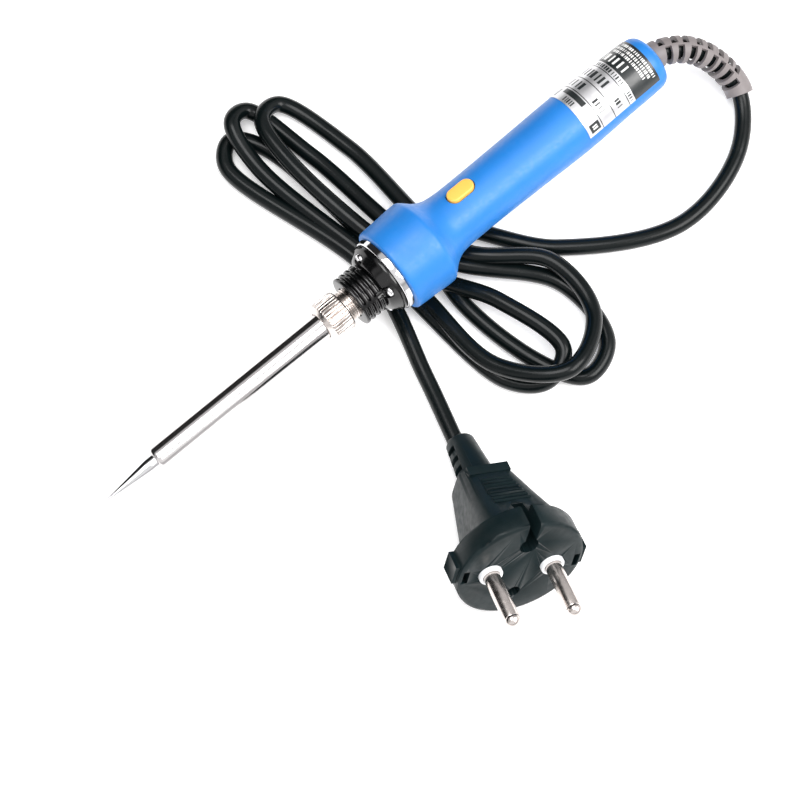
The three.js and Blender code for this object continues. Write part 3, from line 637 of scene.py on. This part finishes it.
def make_neck():
    corners = [(NECK_START, 5.1)]
    for i in range(NECK_RIBS):
        start = NECK_START + i * RIB_PITCH
        corners += [(start + 0.05, NECK_R, 0.62), (start + RIB_PITCH * 0.66, NECK_R, 0.62)]
        corners += [(start + RIB_PITCH * 0.7, NECK_R - 1.1, 0.2),
                    (start + RIB_PITCH * 0.98, NECK_R - 1.1, 0.2)]
    corners += [
        (DOME_START, NECK_R - 0.4, 0.2), (98.3, NECK_R + 0.9, 0.5), (100.2, 10.3, 0.9), (101.3, DOME_R, 0.5),
        (DOME_END, DOME_R, 0.2), (DOME_END + 0.1, 10.0), (112.1, 10.0), (112.1, 7.5), (101, 7.5), (101, 5.1),
        (NECK_START, 5.1),
    ]

    def rib_key(x, r, roll):
        """A key runs along the ribbed neck, in line with one screw."""
        near = abs(math.degrees(roll) - 43) < 5
        return max(r, NECK_R - 0.1) if near and NECK_START < x < DOME_START and r > 5.2 else r

    neck = revolve("ribbed_neck", rounded(corners)[:-1], 144, rib_key, smooth=38)
    for roll in SCREW_ROLLS:
        pocket = revolve("pocket", [(96, 0.0), (96, SCREW_HEAD_R + 0.3), (SCREW_SEAT, SCREW_HEAD_R + 0.3),
                                    (SCREW_SEAT, 0.0)], 40, closed=False)
        carve(neck, screw_place(pocket, roll))
    soften(neck, 38)
    return finish(neck, "bakelite", "root", "neck_insulator")


def make_screw(index, roll):
    seat = SCREW_SEAT - 0.05
    outline = rounded([
        (seat - 1.4, 0.0), (seat - 1.35, 0.8, 0.3), (seat - 0.75, SCREW_HEAD_R, 0.5),
        (seat, SCREW_HEAD_R, 0.15), (seat, 0.8), (112.0, 0.8), (112.5, 0.0),
    ])
    screw = revolve(f"pan_screw_{index}", outline, 48, closed=False)
    turn = Matrix.Rotation(math.radians(22 * index), 4, "X")
    for width, height in ((2.3, 0.42), (0.42, 2.3)):
        slot = brick("recess", (-2, -width / 2, -height / 2), (0, width / 2, height / 2))
        slot.data.transform(Matrix.Translation(spot(seat - 0.62, 0, AXIS_Z)) @ turn)
        carve(screw, slot)
    soften(screw, 35)
    screw_place(screw, roll)
    return finish(screw, "chrome", "root", f"neck_screw_{index}")


def make_bezel():
    outline = rounded([
        (DOME_END + 0.12, 10.3), (DOME_END + 0.12, 11.75, 0.45), (HANDLE_START - 0.05, 11.95, 0.2),
        (HANDLE_START - 0.05, 10.3), (DOME_END + 0.12, 10.3),
    ])
    bezel = revolve("bezel_ring", outline[:-1], 160, smooth=50)
    return finish(bezel, "chrome", "root", "front_bezel_ring")


# ---- Handle, label and button -------------------------------------------------------------------


def button_matrix():
    """Upright over the origin, to the tilted line of the button."""
    turn = Matrix.Rotation(-math.radians(BUTTON_TILT), 4, "X")
    return Matrix.Translation(spot(BUTTON_X, 0, AXIS_Z)) @ turn


def obround(length, width):
    """An oblong with round ends, in metres, from sizes in millimetres."""
    steps = 16
    radius = width / 2
    reach = length / 2 - radius
    points = []
    for side in (1, -1):
        for i in range(steps + 1):
            angle = -math.pi / 2 + math.pi * i / steps + (math.pi if side < 0 else 0)
            points.append(((side * reach + radius * math.cos(angle)) * MM, radius * math.sin(angle) * MM))
    return points


def handle_outside():
    outer = flowing([(HANDLE_START + x, r) for x, r in HANDLE_OUTLINE], 8)
    front = rounded([(HANDLE_START, 10.3), (HANDLE_START, 13.3, 1.1), outer[0]])
    return front[:-1] + outer


def handle_radius(x):
    outline = handle_outside()
    for (x0, r0), (x1, r1) in zip(outline, outline[1:]):
        if x0 <= x <= x1 and x1 > x0:
            return r0 + (r1 - r0) * (x - x0) / (x1 - x0)
    raise ValueError(f"the handle doesn't reach {x}")


def make_handle():
    inside = [
        (HANDLE_END, 6.3), (HANDLE_END, 4.2), (202.2, 4.2), (202.2, 7.2), (118, 7.2), (118, 6.4),
        (112.4, 6.4), (112.4, 10.3),
    ]
    handle = revolve("blue_handle", handle_outside() + inside, 160, smooth=35)
    hole = prism("hole", obround(BUTTON_LENGTH + 0.7, BUTTON_WIDTH + 0.7), 4 * MM, 14 * MM)
    hole.data.transform(button_matrix())
    carve(handle, hole)
    soften(handle, 35)
    return finish(handle, "blue_plastic", "root", "handle_shell")


def make_label():
    """Thin foil that follows the handle, with a UV map in millimetres."""
    columns, rows = 60, 28
    thickness, mean_radius = 0.12, 9.2
    vertices, uvs = [], []
    for shell in (0.06 + thickness, 0.02):
        for j in range(rows + 1):
            x = LABEL_FRONT + (LABEL_REAR - LABEL_FRONT) * j / rows
            radius = handle_radius(x) + shell
            for i in range(columns + 1):
                degrees = LABEL_FIRST - LABEL_WRAP * i / columns
                roll = math.radians(degrees)
                vertices.append(spot(x, -radius * math.sin(roll), AXIS_Z + radius * math.cos(roll)))
                uvs.append((x - LABEL_FRONT, math.radians(LABEL_WRAP * i / columns) * mean_radius))
    wide = columns + 1
    layer = wide * (rows + 1)
    faces = []
    for j in range(rows):
        for i in range(columns):
            a = j * wide + i
            faces.append((a, a + 1, a + wide + 1, a + wide))
            faces.append((layer + a, layer + a + wide, layer + a + wide + 1, layer + a + 1))
    for j in range(rows):
        for i in (0, columns):
            a = j * wide + i
            faces.append((a, a + wide, layer + a + wide, layer + a))
    for i in range(columns):
        for j in (0, rows):
            a = j * wide + i
            faces.append((a, a + 1, layer + a + 1, layer + a))
    label = add_mesh("foil_label", vertices, faces, 50)
    layer_data = label.data.uv_layers.new(name="print")
    for loop in label.data.loops:
        layer_data.data[loop.index].uv = uvs[loop.vertex_index]
    return finish(label, "silver_label", "root", "rating_label")


def make_button():
    crown = prism("boost_button", obround(BUTTON_LENGTH, BUTTON_WIDTH), 5.8 * MM, BUTTON_TOP_R * MM)
    bevelled(crown, 0.45, 4)
    flange = prism("button_flange", obround(BUTTON_LENGTH + 2, BUTTON_WIDTH - 0.3), 5.7 * MM, 6.6 * MM)
    carve(crown, flange, "UNION")
    soften(crown, 40)
    crown.data.transform(button_matrix())
    return finish(crown, "orange_button", "button", "power_button")


# ---- Plug ---------------------------------------------------------------------------------------


def plug_matrix():
    """From the plug's own axes, +Z along the pins and z = 0 on the face, to the frame."""
    tilt = math.radians(PLUG_TILT)
    heading = Vector((*PLUG_HEADING, 0)).normalized() * math.cos(tilt)
    out = Vector((heading.x, heading.y, math.sin(tilt)))
    across = Vector((0, 0, 1)).cross(out).normalized()
    up = out.cross(across)
    roll = Matrix.Rotation(-math.radians(PLUG_ROLL), 4, "Z")
    return Matrix.Translation(spot(*PLUG_FACE)) @ Matrix((across, up, out)).transposed().to_4x4() @ roll


def oval(half_width, half_depth, power, sides):
    points = []
    for i in range(sides):
        angle = 2 * math.pi * i / sides
        c, s = math.cos(angle), math.sin(angle)
        points.append((half_width * math.copysign(abs(c) ** (2 / power), c),
                       half_depth * math.copysign(abs(s) ** (2 / power), s)))
    return points


def loft(name, rings):
    """A closed skin over (z, half width, half depth, power) rings, in millimetres."""
    sides = 72
    vertices = []
    for z, width, depth, power in rings:
        vertices.extend(Vector((x * MM, y * MM, z * MM)) for x, y in oval(width, depth, power, sides))
    faces = [tuple(range(sides)), tuple((len(rings) - 1) * sides + i for i in range(sides))]
    for row in range(len(rings) - 1):
        faces += ring_faces(row, row + 1, sides)
    return add_mesh(name, vertices, faces, 35)


def turned(name, outline):
    """Turns a closed outline of (radius, z) pairs, in millimetres, round the local Z axis."""
    facets = 64
    vertices = []
    for r, z in outline:
        for i in range(facets):
            angle = 2 * math.pi * i / facets
            vertices.append(Vector((r * math.cos(angle), r * math.sin(angle), z)) * MM)
    rows = len(outline)
    faces = []
    for row in range(rows):
        faces += ring_faces(row, (row + 1) % rows, facets)
    return add_mesh(name, vertices, faces, 40)


def moved(obj, x, y):
    obj.data.transform(Matrix.Translation(Vector((x, y, 0)) * MM))
    return obj


def drill(name, x, y, radius, depth):
    return moved(turned(name, [(0, -depth), (radius, -depth), (radius, 1), (0, 1)]), x, y)


PLUG_BODY = [(-33.6, 5.0, 5.0, 2), (-33.2, 7.0, 6.8, 3), (-32.4, 7.8, 7.4, 4), (-18, 10.2, 12, 5),
             (-9, 12, 15.3, 5), (-6, 12.3, 16, 5)]


def plug_top(z):
    """Height of the wedge body over the plug's axis."""
    for (z0, _, d0, _), (z1, _, d1, _) in zip(PLUG_BODY, PLUG_BODY[1:]):
        if z0 <= z <= z1:
            return d0 + (d1 - d0) * (z - z0) / (z1 - z0)
    raise ValueError(f"the plug has no body at {z}")


def make_plug_moulding():
    """Moulded plug: a round face plate, a wedge body with finger ridges, and a slotted guard."""
    plate = loft("plug_moulding", [
        (-8.0, 17.6, 17.6, 2), (-7.6, 18.6, 18.6, 2), (-6.8, 19, 19, 2), (-1.2, 19, 19, 2),
        (-0.5, 18.8, 18.8, 2), (-0.1, 18.3, 18.3, 2), (0, 17.6, 17.6, 2),
    ])
    carve(plate, loft("wedge", PLUG_BODY), "UNION")
    for i in range(8):
        z = -14.5 - i * 1.55
        reach = 5.6 - i * 0.18
        top = plug_top(z)
        carve(plate, brick("ridge", (-reach, top - 2, z - 0.33), (reach, top + 0.3, z + 0.33)), "UNION")
    carve(plate, brick("band", (-6.4, 0, -31.6), (6.4, plug_top(-30) + 0.7, -28.6)), "UNION")
    guard = loft("guard", [(-48.0, 3.9, 3.9, 2), (-47.4, 4.3, 4.3, 2), (-33.5, 5.6, 5.6, 2),
                           (-30, 5.8, 5.8, 2)])
    carve(plate, guard, "UNION")
    for i in range(3):
        for side in (1, -1):
            z = -36.8 - i * 3.7
            slot = loft("slot", [(z - 0.9, 6.2, 3.2, 2.6), (z + 0.9, 6.2, 3.2, 2.6)])
            carve(plate, moved(slot, side * 8.1, 0))
    for side in (1, -1):
        lug = brick("lug", (side * 18.9 - 1.2, -3.4, -7.4), (side * 18.9 + 1.2, 3.4, -1.4))
        carve(plate, lug, "UNION")
        carve(plate, brick("notch", (side * 17.0 - 0.9, -2.4, -9), (side * 17.0 + 0.9, 2.4, 2)))
        carve(plate, drill("socket", side * PIN_SPACING / 2, 0, 3.65, 4.0))
    carve(plate, drill("earth_hole", 0, 10, 2.8, 12))
    carve(plate, brick("earth_slot", (-1.7, 10, -12), (1.7, 21, 2)))
    carve(plate, drill("lower_hole", 0, -10, 2.0, 6))
    bevelled(plate, 0.25, 2)
    plate.data.transform(plug_matrix())
    return finish(plate, "plug_plastic", "root", "plug_body")


def make_pin(number, side):
    """A round pin with a domed end; a fine groove marks where the dome starts."""
    end = PIN_LENGTH - PIN_R
    outline = [(0, PIN_SEAT), (PIN_R, PIN_SEAT), (PIN_R, end - 0.6), (PIN_R - 0.12, end - 0.3)]
    for degrees in range(0, 91, 9):
        angle = math.radians(degrees)
        outline.append((PIN_R * math.cos(angle), end + PIN_R * math.sin(angle)))
    pin = turned(f"round_pin_{number}", outline)
    moved(pin, side * PIN_SPACING / 2, 0)
    pin.data.transform(plug_matrix())
    return finish(pin, "nickel", "root", f"plug_pin_{number}")


def make_pin_collar(number, side):
    outline = [(2.55, PIN_SEAT), (3.5, PIN_SEAT), (3.5, 0.8), (3.3, 1.15), (2.9, 1.2), (2.55, 1.05)]
    collar = turned(f"white_collar_{number}", outline)
    moved(collar, side * PIN_SPACING / 2, 0)
    collar.data.transform(plug_matrix())
    return finish(collar, "white_plastic", "root", f"pin_collar_{number}")


def make_plug():
    pieces = [make_plug_moulding()]
    for number, side in ((1, 1), (2, -1)):
        pieces.append(make_pin(number, side))
        pieces.append(make_pin_collar(number, side))
    return pieces


# ---- Assembly -----------------------------------------------------------------------------------

make_tip()
make_sleeve()
make_nut()
make_collar()
make_neck()
for number, roll in enumerate(SCREW_ROLLS, start=1):
    make_screw(number, roll)
make_bezel()
make_handle()
make_label()
make_button()
PLUG_PIECES = make_plug()

SLOT_OF = {part["node"]: part["material_slot"] for part in frame["record"]["subparts"]}
for name, node in frame["nodes"].items():
    node.data.materials.clear()
    node.data.materials.append(LOOKS[SLOT_OF[name]])
    soften(node)

# ---- Stage and light ----------------------------------------------------------------------------


def make_floor():
    floor = block("floor", (-1.5, -1.5, -0.01), (1.5, 1.5, 0))
    n = Nodes("pale_floor")
    n.set("Base Color", n.mix(n.noise(3), (0.92, 0.92, 0.92, 1), (0.94, 0.94, 0.94, 1)))
    n.set("Roughness", 0.7)
    n.set("Emission Color", (1, 1, 1, 1))
    n.set("Emission Strength", 0.3)
    floor.data.materials.append(n.material)


def area_light(name, place, aim, size, power, colour=(1, 1, 1)):
    light = bpy.data.lights.new(name, "AREA")
    light.shape = "RECTANGLE"
    light.size, light.size_y = size
    light.energy = power
    light.color = colour
    obj = bpy.data.objects.new(name, light)
    bpy.context.scene.collection.objects.link(obj)
    obj.location = Vector(place)
    obj.rotation_euler = (Vector(aim) - Vector(place)).to_track_quat("-Z", "Y").to_euler()


def make_studio():
    """A pale room with darker bands along the iron, which give the metal its dark stripes."""
    world = bpy.data.worlds.new("studio")
    world.use_nodes = True
    bpy.context.scene.world = world
    tree = world.node_tree
    background = tree.nodes["Background"]
    coords = tree.nodes.new("ShaderNodeTexCoord")
    split = tree.nodes.new("ShaderNodeSeparateXYZ")
    angle = tree.nodes.new("ShaderNodeMath")
    angle.operation = "ARCTAN2"
    flip = tree.nodes.new("ShaderNodeMath")
    flip.operation = "MULTIPLY"
    flip.inputs[1].default_value = -1
    spread = tree.nodes.new("ShaderNodeMapRange")
    spread.inputs["From Min"].default_value = -math.pi
    spread.inputs["From Max"].default_value = math.pi
    ramp = tree.nodes.new("ShaderNodeValToRGB")
    links = tree.links
    links.new(coords.outputs["Generated"], split.inputs[0])
    links.new(split.outputs[1], flip.inputs[0])
    links.new(flip.outputs[0], angle.inputs[0])
    links.new(split.outputs[2], angle.inputs[1])
    links.new(angle.outputs[0], spread.inputs["Value"])
    links.new(spread.outputs[0], ramp.inputs[0])
    links.new(ramp.outputs[0], background.inputs["Color"])
    background.inputs["Strength"].default_value = 0.95
    # Roll of the sky round the iron's axis, in degrees from overhead towards -Y, and its brightness.
    sky = [(-180, 0.5), (-95, 0.35), (-88, 0.03), (-42, 0.03), (-36, 0.75), (-20, 0.8), (-12, 0.4),
           (-4, 0.45), (4, 1.1), (62, 1.15), (70, 0.5), (78, 0.8), (110, 0.9), (180, 0.5)]
    elements = ramp.color_ramp.elements
    for degrees, level in sky:
        position = (degrees + 180) / 360
        if degrees == -180:
            element = elements[0]
        elif degrees == 180:
            element = elements[-1]
        else:
            element = elements.new(position)
        element.position = position
        element.color = (level, level * 0.985, level * 0.99, 1)


make_floor()
make_studio()
area_light("key", (0.35, -0.55, 0.75), (0, 0, 0), (0.7, 0.5), 8, (1, 0.985, 0.97))
area_light("top", (-0.1, 0.05, 0.9), (0, 0, 0), (0.5, 0.5), 5)
bpy.context.scene.view_settings.view_transform = "Standard"
